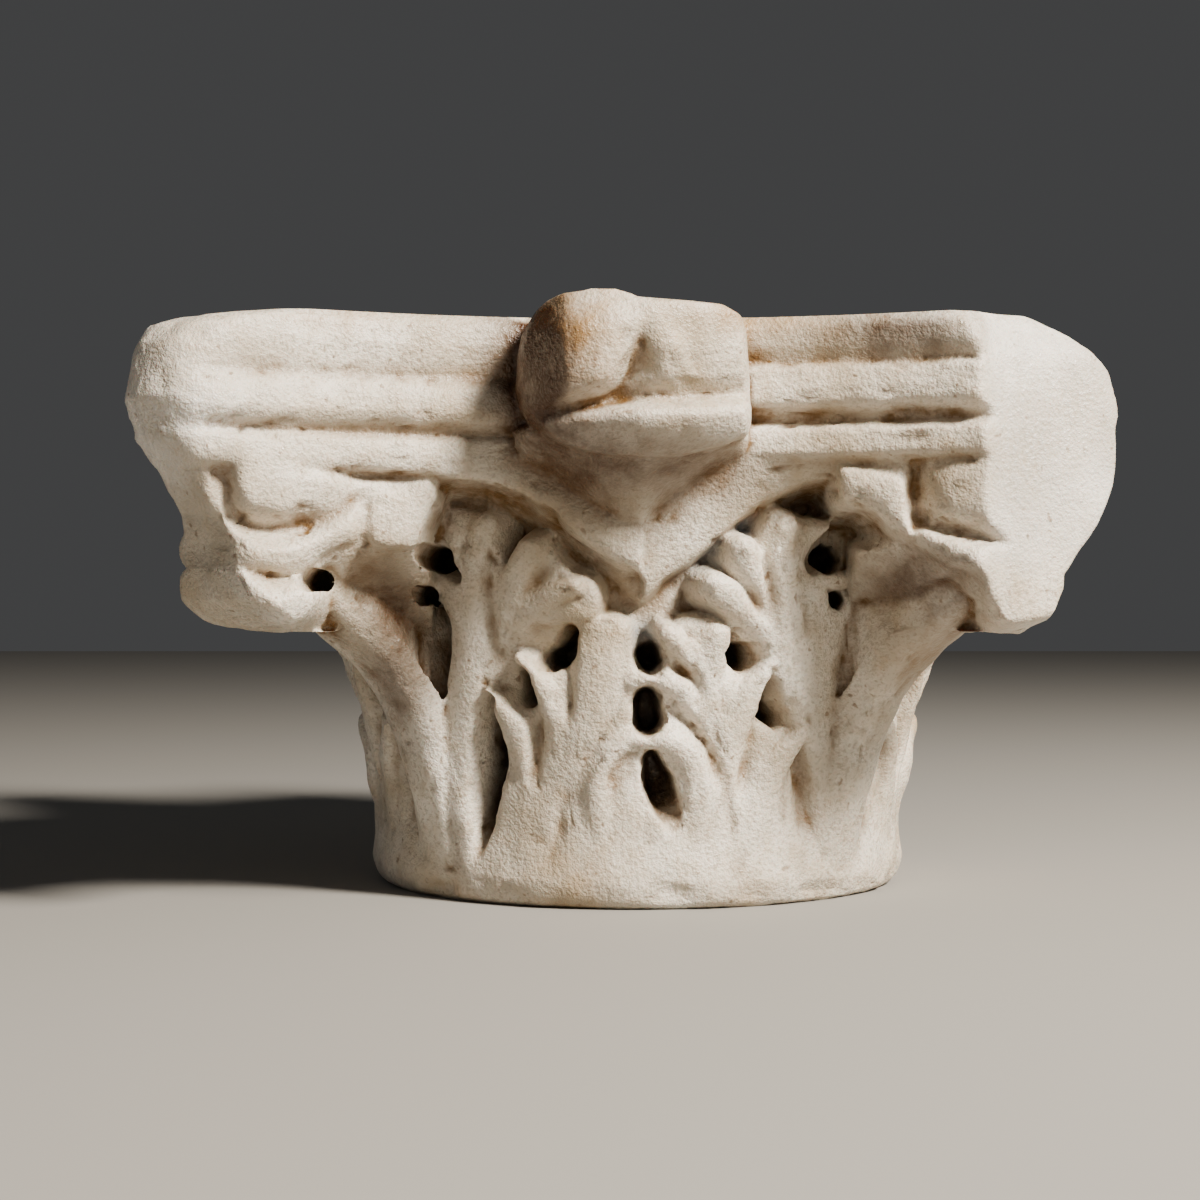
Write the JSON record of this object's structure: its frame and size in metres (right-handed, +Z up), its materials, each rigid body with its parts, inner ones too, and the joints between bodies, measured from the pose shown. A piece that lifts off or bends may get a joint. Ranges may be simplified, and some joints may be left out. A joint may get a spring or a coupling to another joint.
{
  "type": "corinthian capital",
  "caption": "Small carved marble Corinthian capital: round bell with toothed leaves, arched fillets, corner volutes and a concave abacus, worn, with one horn broken away.",
  "frame": {"origin": "centre of the round underside, on the column's axis", "axes": "+Z up along the column, front face towards -Y, the horns of the abacus on the diagonals"},
  "size_m": [0.27, 0.27, 0.1618],
  "materials": {
    "marble": "weathered off-white marble, matt, with brown soiling in the hollows"
  },
  "bodies": {
    "root": {"capital": "marble"}
  },
  "joints": []
}
